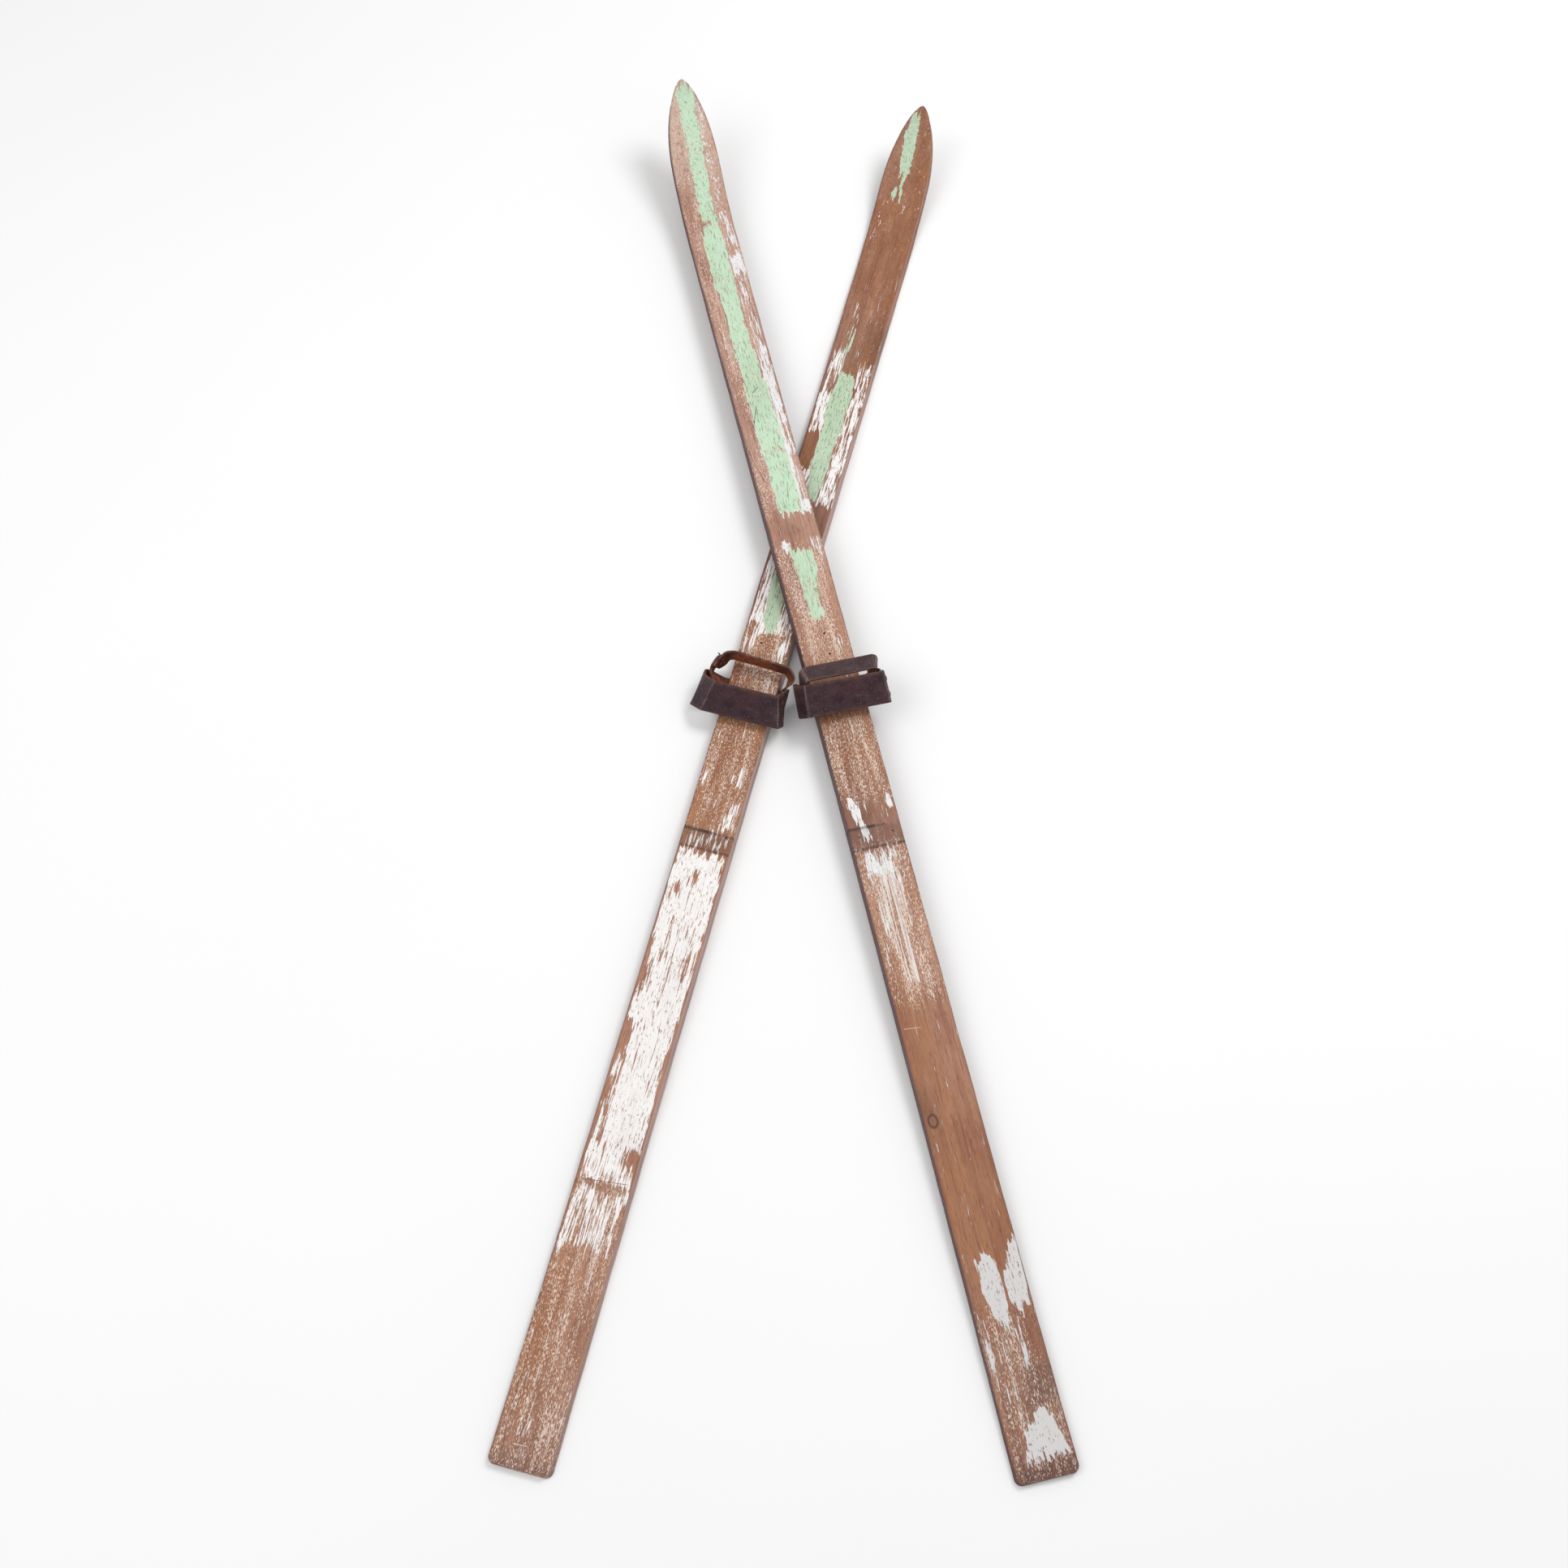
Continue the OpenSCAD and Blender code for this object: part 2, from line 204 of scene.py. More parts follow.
def board_ring(place, half, top, base, slant, board):
    """One cross-section, from the middle of the base round its right side and back."""
    seed = board["seed"]
    ring = []
    groove = smooth((place - GROOVE_SPAN[0]) / 6) * smooth((GROOVE_SPAN[1] - place) / 6)
    for side in (1, -1):
        lean = board["slope"] if side == board["inner"] else 0.8
        lean *= min(1, half / 30) * min(1, (top - base) / 9)
        dents = 0.22 * wander(seed + side, place, 37) + 0.1 * wander(seed + side, place, 7)
        edge = half + dents * min(1, half / 20) ** 2
        wear = 1 + 0.45 * wander(seed + 3 * side, place, 90) + 0.2 * wander(seed - side, place, 11)
        radius = min(TOP_EDGE_RADIUS * wear, 0.45 * (top - base))
        small = min(BASE_EDGE_RADIUS, half / 3)
        shrink = min(1, half / 12)
        points = [(GROOVE_HALF_WIDTH * shrink * f, base + GROOVE_DEPTH * groove * d)
                  for f, d in ((0, 1), (0.5, 1), (0.94, 1), (1.06, 0))]
        points += [(GROOVE_HALF_WIDTH * shrink * 1.06 * (1 - f) + (edge - small) * f, base)
                   for f in (0.35, 0.7, 1)]
        points += [(edge - small * (1 - math.sin(a)), base + small * (1 - math.cos(a)))
                   for a in (0.5, 1.05, math.pi / 2)]
        wall_top = top - radius
        points += [(edge - lean * f, base + small + (wall_top - base - small) * f)
                   for f in (0.3, 0.6, 0.85)]
        crown = edge - lean
        insets = [d * min(1, crown / 8) for d in TOP_INSETS]
        insets += [insets[-1] + (crown - insets[-1]) * i / TOP_STEPS for i in range(1, TOP_STEPS + 1)]
        for inset in insets:
            reach = min(inset * slant, place)
            drop = radius - math.sqrt(max(0, radius ** 2 - max(0, radius - reach) ** 2))
            points.append((crown - inset, top - drop))
        ring.append([(side * x, place - SLOT_ALONG, z) for x, z in points])
    right, left = ring
    return right + left[-2:0:-1]


def dent_boards(piece, side, to_ski):
    """Presses the old heel plate's two edges into the top face."""
    for vertex in piece.data.vertices:
        x, y, z = to_ski @ vertex.co / MM
        if z > 2:
            depth = sum(max(0, 1 - abs(y + SLOT_ALONG - line) / 1.6) for line in HEEL_LINES[side])
            vertex.co -= SKI[side].to_3x3() @ Vector((0, 0, 0.45 * depth * MM))


def box_points(x, y, z):
    return [(a * x, b * y, c * z) for a in (-1, 1) for b in (-1, 1) for c in (-1, 1)]


BOX_FACES = [(0, 1, 3, 2), (4, 6, 7, 5), (0, 4, 5, 1), (2, 3, 7, 6), (0, 2, 6, 4), (1, 5, 7, 3)]
SLOT_HALF_LENGTH = 24
SLOT_HALF_HEIGHT = 3.2
HEEL_HOLES = 23
HEEL_ALONG = 832
HEEL_FLOOR = 1.9


def cut_openings(piece, side, material):
    """Cuts the strap slot and the old heel plate's two nail holes."""
    scale = SKI[side] @ Matrix.Scale(MM, 4)
    cutters = [mesh_object("cut", box_points(60, SLOT_HALF_LENGTH, SLOT_HALF_HEIGHT),
                           BOX_FACES, material, scale)]
    for x in (-HEEL_HOLES, HEEL_HOLES):
        points, faces = lathe([(1.1, 0), (1.1, 30)], 16)
        place = Matrix.Translation((x, HEEL_ALONG - SLOT_ALONG, HEEL_FLOOR))
        cutters.append(mesh_object("cut", points, faces, material, scale @ place))
    for cutter in cutters:
        modifier = piece.modifiers.new("cut", "BOOLEAN")
        modifier.object = cutter
        modifier.solver = "EXACT"
    bpy.context.view_layer.update()
    evaluated = piece.evaluated_get(bpy.context.evaluated_depsgraph_get())
    mesh = bpy.data.meshes.new_from_object(evaluated)
    piece.modifiers.clear()
    piece.data = mesh
    for cutter in cutters:
        bpy.data.objects.remove(cutter)


def make_board(side, material):
    board = BOARDS[side]
    places = stations()
    rows = measure_board(side, places)
    slopes = np.gradient(rows[:, 0], places)
    points = []
    for place, (half, top, base), slope in zip(places, rows, slopes):
        slant = 1 / math.hypot(1, slope) if place > 20 else 1
        points += board_ring(place, half, top, base, slant, board)
    ring_size = len(points) // len(places)
    piece = mesh_object(f"{side}_ski_board", points, ring_faces(len(places), ring_size),
                        material, SKI[side] @ Matrix.Scale(MM, 4))
    to_ski = SKI[side].inverted()
    dent_boards(piece, side, to_ski)
    cut_openings(piece, side, material)
    across, along, up = np.array([to_ski @ v.co / MM for v in piece.data.vertices]).T
    along = along + SLOT_ALONG
    half = np.interp(along, places, rows[:, 0])
    rotate = to_ski.to_3x3()
    facing = np.array([(rotate @ v.normal).z for v in piece.data.vertices])
    white, green, flecks, ruled, stain_and_shadow = paint_cover(side, across, along)
    on_top = smooth((facing - 0.25) / 0.5)
    set_attribute(piece, "ski", np.stack([across, along, up], 1) * MM)
    set_attribute(piece, "paint", np.stack([white * on_top, green * on_top, stain_and_shadow], 1))
    set_attribute(piece, "traces", np.stack([flecks, ruled, np.zeros_like(ruled)], 1))
    set_attribute(piece, "form", np.stack([half - np.abs(across), facing, on_top], 1))
    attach(piece, f"{side}_ski")
    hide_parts(f"{side}_ski")


# ---------------------------------------------------------------- where paint is left

def band(x0, x1, y0, y1, shift=0):
    """Corners of a patch between x0 and x1 at y0, moved across by shift at y1."""
    return [(x0, y0), (x1, y0), (x1 + shift, y1), (x0 + shift, y1)]


# Each patch is (corners, how much is there from 0 to 1, how soft its edge is in mm).
# A later patch lies over an earlier one.
WHITE = {
    "left": [
        (band(-38, 38, 0, 2100), 0.06, 1),
        (band(-33, -22, 1850, 1960, 5), 0.30, 8),
        (band(-20, -12, 1655, 1765), 0.34, 5),
        (band(-38, -12, 1560, 1665), 0.52, 10),
        (band(12, 34, 1560, 1650), 0.50, 10),
        (band(-36, -10, 1380, 1580), 0.74, 6),
        (band(9, 35, 1380, 1580), 0.62, 6),
        (band(-38, -15, 1440, 1504), 0.00, 3),
        (band(-36, 30, 1120, 1300), 0.66, 6),
        (band(-38, -20, 1130, 1166), 0.30, 4),
        (band(-16, 18, 1090, 1148), 0.12, 4),
        (band(-34, -22, 1105, 1140), 0.45, 6),
        (band(20, 32, 1100, 1150), 0.55, 5),
        (band(-38, 30, 1010, 1100), 0.22, 8),
        (band(-36, -22, 905, 935), 0.55, 6),
        (band(8, 24, 908, 938), 0.52, 6),
        (band(10, 30, 838, 890), 0.50, 8),
        (band(-30, 28, 810, 831), 0.40, 5),
        (band(-35, 31, 545, 802), 0.84, 5),
        (band(-8, 5, 752, 778), 0.45, 6),
        (band(-28, -17, 732, 752), 0.35, 5),
        (band(-18, -6, 645, 705), 0.55, 6),
        (band(-38, -16, 600, 662), 0.42, 7),
        (band(4, 22, 622, 660), 0.55, 5),
        (band(-36, -8, 520, 552), 0.20, 5),
        (band(-35, -20, 400, 520), 0.45, 6),
        (band(-20, 30, 395, 548), 0.88, 5),
        (band(-33, 30, 344, 398), 0.66, 4),
        (band(10, 28, 375, 395), 0.30, 5),
        (band(-36, 33, 262, 341), 0.52, 12),
        (band(-36, 34, 338, 344), 0.10, 1.5),
        (band(-33, -22, 262, 330), 0.70, 8),
        (band(-32, -24, 185, 215), 0.50, 6),
        (band(-36, 36, 0, 250), 0.14, 12),
    ],
    "right": [
        (band(-38, 38, 0, 2100), 0.05, 1),
        (band(14, 28, 1880, 2075), 0.42, 7),
        (band(14, 37, 1840, 1900), 0.50, 6),
        (band(17, 37, 1785, 1823), 0.92, 3),
        (band(14, 37, 1580, 1785), 0.40, 9),
        (band(18, 36, 1590, 1640), 0.62, 8),
        (band(-36, -14, 1500, 1880), 0.20, 12),
        (band(15, 36, 1345, 1590), 0.78, 5),
        (band(26, 37, 1360, 1500), 0.45, 4),
        (band(-17, -12, 1430, 1530), 0.62, 4),
        (band(-15, 34, 1342, 1366), 0.92, 2),
        (band(-38, 38, 1304, 1340), 0.00, 2),
        ([(-24, 1290), (-22, 1300), (-18, 1302), (-15, 1293), (-10, 1292), (-13, 1284), (-17, 1277),
          (-20, 1284)],
         0.96, 2),
        (band(20, 37, 1240, 1300), 0.36, 6),
        (band(-26, 26, 990, 1270), 0.14, 10),
        (band(-24, -8, 915, 950), 0.20, 8),
        (band(-30, 26, 760, 808), 0.34, 6),
        ([(-26, 890), (-17, 884), (-14, 852), (-7, 832), (-10, 822), (-18, 824), (-20, 850),
          (-28, 868)], 0.92, 2.5),
        (band(26, 36, 868, 890), 0.92, 3),
        (band(-6, 24, 850, 872), 0.25, 6),
        (band(-26, 12, 774, 808), 0.58, 7),
        (band(-24, -14, 690, 740, 5), 0.30, 4),
        ([(-18, 262), (-8, 268), (4, 262), (7, 225), (4, 180), (-4, 164), (-12, 180), (-21, 220)], 0.97, 2.5),
        ([(10, 232), (24, 268), (34, 282), (39, 280), (39, 222), (32, 200), (18, 190), (12, 205)], 0.92, 2.5),
        (band(5, 16, 125, 190), 0.60, 6),
        (band(-26, 6, 130, 185), 0.28, 8),
        (band(-35, -25, 85, 195), 0.58, 6),
        (band(-34, -8, 55, 130), 0.32, 12),
        ([(-24, 20), (34, 26), (19, 80), (14, 83), (-7, 64)], 0.99, 2),
    ],
}
GREEN = {
    "left": [
        ([(-8, 2093), (-2, 2092), (3, 2055), (3, 2010), (-2, 2001), (-12, 2004), (-16, 2030),
          (-19, 2062)], 0.90, 4),
        (band(-15, -10, 1972, 1990), 0.90, 1.5),
        (band(-5, -1, 1972, 2004, -1), 0.90, 1.5),
        (band(-17, -11, 1655, 1715, 3), 0.60, 4),
        ([(-13, 1628), (12, 1625), (13, 1560), (11, 1440), (8, 1385), (-4, 1385), (-15, 1445), (-14, 1500),
          (-18, 1560)], 0.94, 4),
        ([(-20, 1300), (10, 1300), (7, 1230), (7, 1160), (3, 1150), (-6, 1152), (-14, 1175),
          (-18, 1200)], 0.92, 4),
    ],
    "right": [
        (band(-11, 15, 2040, 2094), 0.86, 6),
        (band(-10, 16, 1975, 2045), 0.72, 5),
        (band(-10, 14, 1780, 1980), 0.90, 4),
        (band(-11, 2, 1975, 1979), 0.20, 1.5),
        (band(-11, 3, 1886, 1894), 0.15, 3),
        (band(-17, 14, 1765, 1872), 0.94, 4),
        (band(-14, 13, 1640, 1780), 0.78, 5),
        (band(-13, 15, 1460, 1640), 0.92, 4),
        (band(-14, 20, 1345, 1580), 0.94, 4),
        (band(-10, 18, 1452, 1458), 0.25, 2),
        ([(-14, 1289), (4, 1281), (17, 1282), (19, 1250), (12, 1228), (12, 1170), (-8, 1165),
          (-12, 1220)], 0.86, 4),
        (band(0, 16, 1216, 1226), 0.25, 3),
        (band(-6, 8, 1180, 1200), 0.50, 5),
    ],
}
# Dark stains: old nail plates, tar, and grime in hollows; and on the left ski a painted shadow of the right ski,
# which crosses above it
STAIN_AND_SHADOW = {
    "left": [
        (band(-39, 6, 830, 836), 1.0, 1.5),
        (band(6, 34, 831, 835), 0.8, 2),
        (band(-34, 32, 806, 810), 0.8, 2),
        (band(-38, 34, 810, 831), 0.35, 4),
        (band(5, 36, 1655, 1735), 0.30, 25),
        (band(-38, 38, 0, 12), 0.35, 12),
        (band(-38, 38, 338, 344), 0.25, 3),
        # painted shadow of the right ski where it crosses above the left one
        (band(-40, 40, 1190, 1300), 0.30, 25),
    ],
    "right": [
        (band(-38, 2, 841, 846), 1.0, 1.5),
        (band(2, 16, 842, 845), 0.7, 2),
        (band(-38, 38, 812, 816), 0.9, 1.5),
        (band(-36, 36, 816, 842), 0.30, 4),
        (band(-25, 15, 820, 834, 4), 0.25, 8),
        (band(-30, 36, 970, 1012), 0.20, 20),
        (band(2, 40, 85, 128, 6), 0.45, 12),
        (band(-38, 38, 0, 18), 0.50, 12),
        (band(-38, -20, 440, 480), 0.30, 20),
        (band(-15, 10, 1310, 1330), 0.22, 15),
    ],
}
# Pale flecks where the open grain still holds old paint
FLECKS = {
    "left": [
        (band(-38, 38, 1600, 2100), 0.10, 30),
        (band(-38, 38, 1010, 1170), 0.60, 20),
        (band(-38, 38, 840, 1000), 0.42, 20),
        (band(-38, 38, 0, 345), 0.62, 60),
        (band(-36, 0, 0, 200), 0.38, 20),
    ],
    "right": [
        (band(-38, 38, 1350, 2090), 0.45, 40),
        (band(-38, 38, 1095, 1290), 0.66, 20),
        (band(-38, 38, 880, 1010), 0.52, 20),
        (band(-38, 38, 600, 812), 0.68, 30),
        (band(-38, 38, 0, 200), 0.40, 40),
    ],
}
# Thin straight lines of paint left in ruled scratches
RULED = {
    "left": [(band(-30, 30, 255, 335), 0.35, 10)],
    "right": [(band(-13, 9, 622, 790), 0.95, 8), (band(-24, -12, 690, 790), 0.60, 8),
              (band(9, 20, 700, 790), 0.50, 8)],
}


def inside_distance(corners, x, y):
    """How far each point is inside a closed outline, negative outside it."""
    nearest = np.full(x.shape, np.inf)
    inside = np.zeros(x.shape, bool)
    for (ax, ay), (bx, by) in zip(corners, corners[1:] + corners[:1]):
        ex, ey = bx - ax, by - ay
        t = np.clip(((x - ax) * ex + (y - ay) * ey) / (ex * ex + ey * ey), 0, 1)
        nearest = np.minimum(nearest, np.hypot(x - ax - t * ex, y - ay - t * ey))
        if by != ay:
            inside ^= ((ay > y) != (by > y)) & (x < ax + (y - ay) * ex / (by - ay))
    return np.where(inside, nearest, -nearest)


def layered(patches, x, y):
    """The value of the topmost patches at each point, soft across their edges."""
    value = np.zeros(x.shape)
    for corners, amount, softness in patches:
        share = smooth(0.5 + inside_distance(corners, x, y) / (2 * softness))
        value = value * (1 - share) + amount * share
    return value


def ragged(across, along):
    """The places, shifted a little at random, so that patches get uneven edges."""
    shift = np.array([(noise.noise(Vector((x / 8, y / 16, 3))),
                       noise.noise(Vector((x / 3.5, y / 45, 9)))) for x, y in zip(across, along)])
    return across + 3.2 * shift[:, 0], along + 13 * shift[:, 1]


def paint_cover(side, across, along):
    """How much white, green, fleck and ruled paint is left at each place, and how much stain and painted shadow.
    """
    x, y = ragged(across, along)
    cover = [layered(table[side], x, y) for table in (WHITE, GREEN, FLECKS, RULED)]
    return cover + [layered(STAIN_AND_SHADOW[side], across, along)]


# ---------------------------------------------------------------- shader helpers

STUDIO_GAIN = 1.17


def rgb(red, green, blue):
    """The colour of a face that looks like this on a screen, 0 to 255, under the studio's light."""
    def linear(c):
        return ((c / 255 + 0.055) / 1.055) ** 2.4 / STUDIO_GAIN
    return (linear(red), linear(green), linear(blue), 1)


class Shader:
    """A material's nodes, with short calls for the ones that the looks use."""

    def __init__(self, name):
        self.material = bpy.data.materials.new(name)
        self.material.use_nodes = True
        self.tree = self.material.node_tree
        self.surface = self.tree.nodes["Principled BSDF"]

    def add(self, kind, inputs, output=0, **settings):
        node = self.tree.nodes.new(f"ShaderNode{kind}")
        for key, value in settings.items():
            setattr(node, key, value)
        for key, value in inputs.items():
            self.plug(node.inputs[key], value)
        return node.outputs[output]

    def plug(self, socket, value):
        if isinstance(value, bpy.types.NodeSocket):
            self.tree.links.new(value, socket)
        else:
            socket.default_value = value

    def math(self, operation, a, b=0.0, clamp=False):
        return self.add("Math", {0: a, 1: b}, operation=operation, use_clamp=clamp)

    def attribute(self, name, part="Vector"):
        return self.add("Attribute", {}, part, attribute_name=name, attribute_type="GEOMETRY")

    def split(self, vector):
        node = self.tree.nodes.new("ShaderNodeSeparateXYZ")
        self.plug(node.inputs[0], vector)
        return node.outputs

    def stretched(self, vector, scale, shift=(0, 0, 0)):
        """The vector, times a scale for each axis: large numbers give fine detail."""
        return self.add("Mapping", {"Vector": vector, "Scale": scale, "Location": shift})

    def noise(self, vector, scale=1.0, detail=3.0, rough=0.55, distort=0.0):
        return self.add("TexNoise", {"Vector": vector, "Scale": scale, "Detail": detail,
                                     "Roughness": rough, "Distortion": distort}, "Fac")

    def ramp(self, value, stops, interpolation="LINEAR"):
        node = self.tree.nodes.new("ShaderNodeValToRGB")
        node.color_ramp.interpolation = interpolation
        elements = node.color_ramp.elements
        elements[0].position, elements[0].color = stops[0]
        elements[1].position, elements[1].color = stops[-1]
        for position, colour in stops[1:-1]:
            elements.new(position).color = colour
        self.plug(node.inputs[0], value)
        return node.outputs[0]

    def span(self, value, low, high, to_low=0.0, to_high=1.0):
        """Maps low..high to to_low..to_high, held at the ends."""
        return self.add("MapRange", {0: value, 1: low, 2: high, 3: to_low, 4: to_high})

    def mix(self, share, a, b, blend="MIX"):
        node = self.tree.nodes.new("ShaderNodeMix")
        node.data_type = "RGBA"
        node.blend_type = blend
        for index, value in ((0, share), (6, a), (7, b)):
            self.plug(node.inputs[index], value)
        return node.outputs[2]

    def bump(self, height, distance, strength=1.0, normal=None):
        inputs = {"Height": height, "Distance": distance, "Strength": strength}
        if normal:
            inputs["Normal"] = normal
        return self.add("Bump", inputs)

    def finish(self, colour, rough, normal=None, **constants):
        self.plug(self.surface.inputs["Base Color"], colour)
        self.plug(self.surface.inputs["Roughness"], rough)
        if normal:
            self.plug(self.surface.inputs["Normal"], normal)
        for key, value in constants.items():
            self.surface.inputs[key.replace("_", " ")].default_value = value
        return self.material


# ---------------------------------------------------------------- old painted wood

# Bare wood's tones, and which of them each ski shows from tail to tip, as
# (mm from the tail, tone on its left, tone on its right)
TONES = {
    "dark": (130, 95, 85), "brown": (150, 105, 80), "grey": (155, 120, 105), "orange": (165, 120, 95),
    "tan": (180, 140, 120), "rosy": (195, 160, 145), "pale": (210, 185, 170),
}
WOOD = {
    "left": [
        (0, "grey", "grey"), (150, "orange", "tan"), (400, "tan", "tan"), (700, "tan", "tan"),
        (850, "orange", "orange"), (1050, "brown", "brown"), (1150, "orange", "brown"),
        # the dark tone at 1250 is painted shadow of the right ski crossing above
        (1250, "dark", "dark"), (1450, "brown", "grey"), (1600, "grey", "brown"),
        (1950, "orange", "brown"), (2100, "grey", "brown"),
    ],
    "right": [
        (0, "dark", "dark"), (100, "grey", "grey"), (300, "orange", "orange"), (600, "orange", "tan"),
        (750, "tan", "tan"), (850, "dark", "grey"), (950, "brown", "orange"), (1150, "tan", "tan"),
        (1450, "rosy", "rosy"), (1900, "rosy", "rosy"), (2050, "pale", "pale"), (2100, "pale", "pale"),
    ],
}
WHITE_PAINT = {"left": (243, 240, 238), "right": (230, 230, 230)}
GREEN_PAINT = {"left": (180, 205, 175), "right": (190, 220, 190)}
# The side walls, left and right, in painted light and shade: each ski's left-hand wall is painted shaded and its
# right-hand wall painted lit
WALL_LIGHT_AND_SHADE = {"left": ((134, 104, 96), (192, 160, 150)), "right": ((92, 66, 68), (150, 116, 106))}
KNOT = {"right": (-25, 440, 6.5), "left": (40, 1250, 0.5)}
# Straight scratches as (x0, y0, x1, y1, half-width, 1 for light and 0 for dark)
SCRATCHES = {
    "left": [(-16, 27, 2, 28, 0.7, 1), (-24, 110, -30, 60, 0.5, 1), (-30, 345, 30, 352, 0.6, 0)],
    "right": [(-32, 563, -9, 561, 0.5, 1), (-34, 1465, -22, 1400, 0.8, 0), (-31, 1455, -26, 1425, 0.5, 1),
              (-17, 1500, -4, 1540, 0.9, 0), (-5, 1562, 6, 1572, 1.0, 0)],
}


def scratch_mask(s, across, along, line):
    """1 on a thin straight line between two points of the ski, else 0."""
    x0, y0, x1, y1, half_width, _ = line
    length = math.hypot(x1 - x0, y1 - y0)
    ux, uy = (x1 - x0) / length, (y1 - y0) / length
    dx = s.math("SUBTRACT", across, x0)
    dy = s.math("SUBTRACT", along, y0)
    run = s.math("ADD", s.math("MULTIPLY", dx, ux), s.math("MULTIPLY", dy, uy))
    off = s.math("SUBTRACT", s.math("MULTIPLY", dx, uy), s.math("MULTIPLY", dy, ux))
    off = s.math("ABSOLUTE", off)
    on_line = s.span(off, 0.5 * half_width, half_width, 1, 0)
    middle = s.math("ABSOLUTE", s.math("SUBTRACT", run, length / 2))
    return s.math("MULTIPLY", on_line, s.span(middle, 0.42 * length, 0.5 * length, 1, 0))


def painted_wood(side):
    s = Shader(f"{side}_old_painted_wood")
    ski = s.attribute("ski")
    across, along, _ = s.split(s.stretched(ski, (1000, 1000, 1000)))
    white_left, green_left, stain_and_shadow = s.split(s.attribute("paint"))
    fleck_left, ruled_left, _ = s.split(s.attribute("traces"))
    inset, facing, on_top = s.split(s.attribute("form"))

    # Grain runs along the ski: fine lines, broad streaks, short pores and blotches
    warp = s.noise(s.stretched(ski, (14, 2.2, 14)), detail=2)
    bent = s.add("VectorMath", {0: ski, 1: s.add("CombineXYZ", {0: s.math("MULTIPLY", warp, 0.016)})},
                 operation="ADD")
    lines = s.noise(s.stretched(bent, (420, 9, 420)), detail=4, rough=0.6)
    streaks = s.noise(s.stretched(bent, (90, 3.2, 90)), detail=3)
    pores = s.noise(s.stretched(bent, (1100, 85, 1100)), detail=2)
    blotches = s.noise(s.stretched(ski, (38, 14, 38)), detail=4)
    clouds = s.noise(s.stretched(ski, (16, 6, 16), (3, 1, 2)), detail=3)

    to_right = s.span(s.math("ADD", across, s.span(clouds, 0.3, 0.7, -14, 14)), -16, 16)
    reach = s.math("MULTIPLY", along, 1 / LENGTH)
    left_wood, right_wood = (
        s.ramp(reach, [(row[0] / LENGTH, rgb(*TONES[row[k]])) for row in WOOD[side]]) for k in (1, 2))
    wood = s.mix(to_right, left_wood, right_wood)
    wood = s.mix(s.span(streaks, 0.50, 0.70, 0, 0.30), wood, rgb(192, 138, 100))
    wood = s.mix(s.span(streaks, 0.48, 0.34, 0, 0.35), wood, rgb(136, 84, 62))
    wood = s.mix(s.span(clouds, 0.50, 0.66, 0, 0.40), wood, rgb(126, 74, 54))
    wood = s.mix(s.span(lines, 0.50, 0.66, 0, 0.42), wood, rgb(108, 68, 54))
    wood = s.mix(s.span(pores, 0.57, 0.66, 0, 0.50), wood, rgb(88, 56, 50))
    wood = s.mix(s.span(blotches, 0.58, 0.74, 0, 0.26), wood, rgb(206, 172, 154))
    wood = s.add("HueSaturation", {"Saturation": 1.13, "Value": 0.95, "Color": wood})

    # The side walls in painted light and shade: the left-hand wall painted shaded, the right-hand one painted lit.
    # Darker along the top edges, and grime on the base
    # painted shade on each left-hand wall and painted light on each right-hand wall
    shaded_left_wall, lit_right_wall = (rgb(*colour) for colour in WALL_LIGHT_AND_SHADE[side])
    side_wood_light_and_shade = s.mix(s.span(across, -1, 1), shaded_left_wall, lit_right_wall)
    side_wood_light_and_shade = s.mix(s.span(streaks, 0.40, 0.62, 0, 0.35), side_wood_light_and_shade, rgb(112, 80, 76))
    side_wood_light_and_shade = s.mix(s.span(lines, 0.5, 0.7, 0, 0.5), side_wood_light_and_shade, rgb(84, 58, 56))
    base_wood = s.mix(s.span(clouds, 0.4, 0.6), rgb(132, 94, 68), rgb(98, 68, 52))
    base_wood = s.mix(s.span(lines, 0.45, 0.65, 0, 0.5), base_wood, rgb(78, 54, 44))
    wood = s.mix(on_top, side_wood_light_and_shade, wood)
    wood = s.mix(s.span(facing, -0.3, -0.7), wood, base_wood)
    edge = s.math("MULTIPLY", s.span(inset, 0.8, 4.5, 0.7, 0), s.span(blotches, 0.35, 0.6, 0.3, 1))
    wood = s.mix(s.math("MULTIPLY", edge, on_top), wood, rgb(104, 70, 70))
    # dark stains, and the painted shadow of the crossing ski, darken the bare wood
    wood = s.mix(s.math("MULTIPLY", stain_and_shadow, s.span(blotches, 0.3, 0.6, 0.7, 1)), wood, rgb(48, 34, 36))

    # A knot with a dark ring
    kx, ky, size = KNOT[side]
    here = s.add("CombineXYZ", {0: across, 1: s.math("MULTIPLY", along, 0.72)})
    wobble = s.math("MULTIPLY", s.math("SUBTRACT", blotches, 0.5), 4)
    away = s.add("VectorMath", {0: here, 1: (kx, ky * 0.72, 0)}, "Value", operation="DISTANCE")
    away = s.math("DIVIDE", s.math("ADD", away, wobble), size)
    ring = s.math("MULTIPLY", s.span(away, 0.62, 0.85), s.span(away, 0.95, 1.25, 1, 0))
    wood = s.mix(s.span(away, 0.5, 1.0, 0.35, 0), wood, rgb(120, 84, 62))
    wood = s.mix(s.math("MULTIPLY", ring, 0.8), wood, rgb(66, 44, 40))

